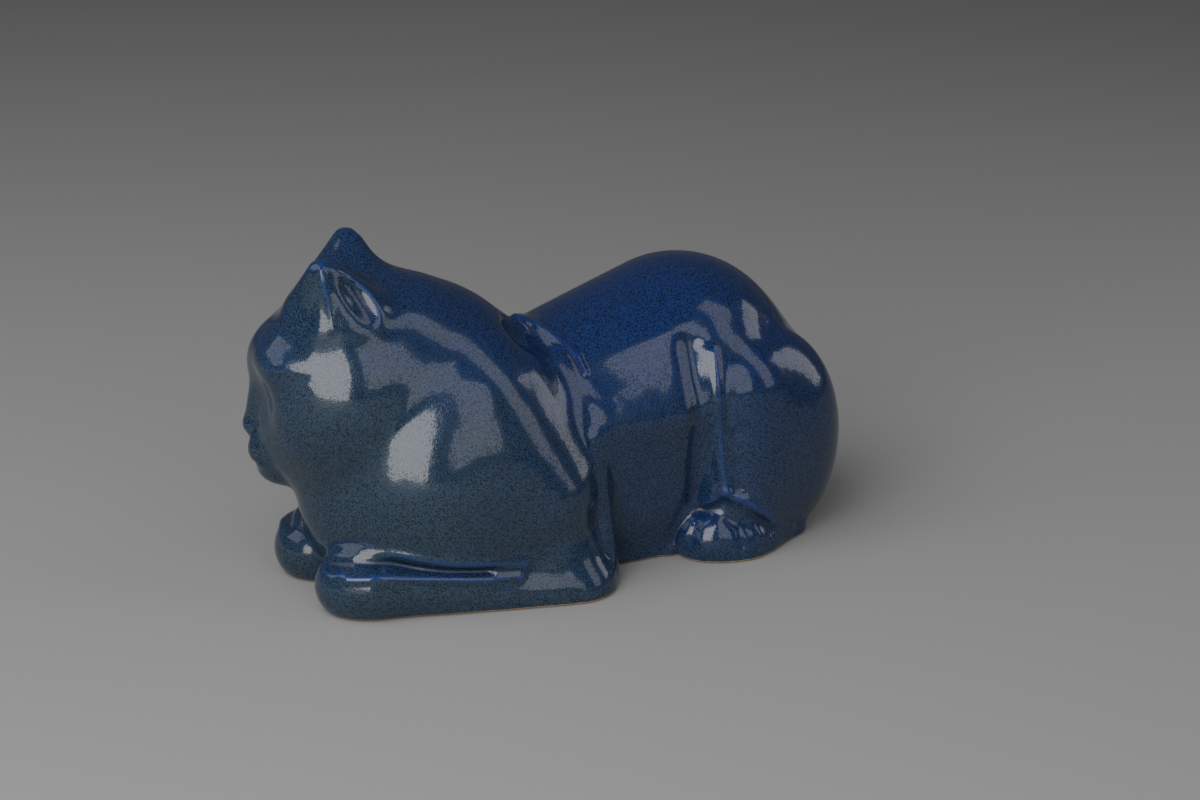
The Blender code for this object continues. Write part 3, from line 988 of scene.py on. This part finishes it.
class URN_OT_cat(bpy.types.Operator):
    """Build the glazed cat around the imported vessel"""

    bl_idname = "urn.cat"
    bl_label = "Glazed cat"

    def execute(self, context):
        figure = context.scene.urn_figure
        cat = cat_mesh(figure.cell * (1), figure.relief)
        cat.data.materials.clear()
        cat.data.materials.append(glaze_material(context.scene.urn_glaze))
        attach(cat, "root")
        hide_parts("cat_vessel")
        return {"FINISHED"}


class URN_OT_stopper(bpy.types.Operator):
    """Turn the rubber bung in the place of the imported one"""

    bl_idname = "urn.stopper"
    bl_label = "Rubber bung"

    def execute(self, context):
        flange = (BUNG_HIGH.x - BUNG_LOW.x) / 2
        neck = FILLER_RADIUS - FIT_GAP
        low, shoulder, high = BUNG_LOW.z, RECESS_DEPTH - FIT_GAP, BUNG_HIGH.z
        profile = stopper_profile(flange, neck, low, shoulder, high)
        bung = turned_solid("rubber_bung", profile, (BUNG_MIDDLE.x, BUNG_MIDDLE.y, 0), ROUND_SIDES)
        for face in bung.data.polygons:
            face.use_smooth = True
        bung.data.materials.append(rubber_material())
        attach(bung, "root")
        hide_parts("stopper")
        return {"FINISHED"}


def rounded(corner, before, after, radius, steps=4):
    """Points that round a corner of a profile."""
    corner, before, after = (Vector(p) for p in (corner, before, after))
    start = corner + (before - corner).normalized() * radius
    end = corner + (after - corner).normalized() * radius
    found = []
    for step in range(steps + 1):
        t = step / steps
        found.append(tuple(start * (1 - t) ** 2 + corner * 2 * t * (1 - t) + end * t**2))
    return found


def stopper_profile(flange, neck, low, shoulder, high):
    """Half outline of the bung, from the middle of its underside to the middle of its top."""
    dish, ring = 0.0009, 0.6
    tip = neck - 0.0012
    corners = [
        (0, low + dish),
        (flange * ring - dish, low + dish),
        (flange * ring, low),
        (flange, low),
        (flange, shoulder),
        (neck, shoulder),
        (neck - 0.0001, (shoulder + high) / 2),
        (tip, high),
        (0, high),
    ]
    radii = (0, 0.0006, 0.0006, 0.0008, 0.0004, 0.0004, 0.0002, 0.0012, 0)
    outline = [corners[0]]
    for before, corner, after, radius in zip(corners, corners[1:], corners[2:], radii[1:]):
        outline += rounded(corner, before, after, radius)
    return outline + [corners[-1]]


def in_metres(grid_place):
    """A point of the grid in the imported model's frame."""
    return Vector(grid_place) * UNIT + SHIFT


def lamp(name, target, power, azimuth, elevation, distance, size, colour=(1, 1, 1)):
    """A soft rectangular lamp that looks at a target. Azimuth 0 is towards -Y, and 90 towards +X."""
    turn, rise = math.radians(azimuth), math.radians(elevation)
    way = Vector((math.sin(turn) * math.cos(rise), -math.cos(turn) * math.cos(rise), math.sin(rise)))
    data = bpy.data.lights.new(name, "AREA")
    data.shape = "RECTANGLE"
    data.size, data.size_y = size
    data.energy = power
    data.color = colour
    obj = bpy.data.objects.new(name, data)
    obj.location = Vector(target) + way * distance
    obj.rotation_euler = way.to_track_quat("Z", "Y").to_euler()
    bpy.context.scene.collection.objects.link(obj)
    return obj


class URN_OT_studio(bpy.types.Operator):
    """Lay the floor, hang the lamps and place the camera"""

    bl_idname = "urn.studio"
    bl_label = "Studio"

    def execute(self, context):
        studio = context.scene.urn_studio
        bm = bmesh.new()
        bmesh.ops.create_grid(bm, x_segments=1, y_segments=1, size=FLOOR_REACH)
        floor = new_object("floor", bm)
        floor.data.materials.append(floor_material(studio.floor_colour))

        middle = (0, 0, VESSEL_HIGH.z / 2)
        lamp("key_lamp", middle, studio.key_power, azimuth=-48, elevation=17, distance=1.1,
             size=(0.75, 0.8), colour=(1, 0.985, 0.97))
        lamp("side_lamp", middle, studio.side_power, azimuth=80, elevation=16, distance=1.2, size=(0.32, 0.6))
        lamp("neck_fill", middle, studio.neck_power, azimuth=-2, elevation=24, distance=1.2, size=(0.6, 1.0))
        lamp("broad_fill", middle, studio.fill_power, azimuth=46, elevation=33, distance=1.2,
             size=(0.42, 1.4))
        lamp("far_fill", middle, studio.far_power, azimuth=-105, elevation=38, distance=1.3, size=(1, 0.9))
        overhead = lamp("overhead", middle, studio.top_power, azimuth=-70, elevation=56, distance=1.6,
                        size=(1.5, 1.5))
        overhead.visible_glossy = False

        world = bpy.data.worlds.new("room")
        world.use_nodes = True
        world.node_tree.nodes["Background"].inputs[0].default_value = solid_colour(studio.room_colour)
        context.scene.world = world

        data = bpy.data.cameras.new("camera")
        data.lens = studio.lens
        data.sensor_width = 36
        camera = bpy.data.objects.new("camera", data)
        camera.location = in_metres(CAMERA_PLACE)
        look = camera.location - in_metres(CAMERA_AIM)
        camera.rotation_euler = look.to_track_quat("Z", "Y").to_euler()
        context.scene.collection.objects.link(camera)
        context.scene.camera = camera
        return {"FINISHED"}


class URN_PT_panel(bpy.types.Panel):
    """Settings and steps of the urn"""

    bl_label = "Cat urn"
    bl_idname = "URN_PT_panel"
    bl_space_type = "VIEW_3D"
    bl_region_type = "UI"
    bl_category = "Cat urn"

    def draw(self, context):
        for group in (context.scene.urn_figure, context.scene.urn_glaze, context.scene.urn_studio):
            box = self.layout.box()
            for name in group.__annotations__:
                box.prop(group, name)
        for operator in OPERATORS:
            self.layout.operator(operator.bl_idname)


SETTINGS = {"urn_glaze": GlazeSettings, "urn_figure": FigureSettings, "urn_studio": StudioSettings}
OPERATORS = (URN_OT_cat, URN_OT_stopper, URN_OT_studio)


def register():
    for name, group in SETTINGS.items():
        bpy.utils.register_class(group)
        setattr(bpy.types.Scene, name, bpy.props.PointerProperty(type=group))
    for operator in OPERATORS:
        bpy.utils.register_class(operator)
    bpy.utils.register_class(URN_PT_panel)


def unregister():
    bpy.utils.unregister_class(URN_PT_panel)
    for operator in reversed(OPERATORS):
        bpy.utils.unregister_class(operator)
    for name, group in SETTINGS.items():
        delattr(bpy.types.Scene, name)
        bpy.utils.unregister_class(group)


def main():
    register()
    bpy.ops.urn.cat()
    bpy.ops.urn.stopper()
    bpy.ops.urn.studio()


if __name__ == "__main__":
    main()
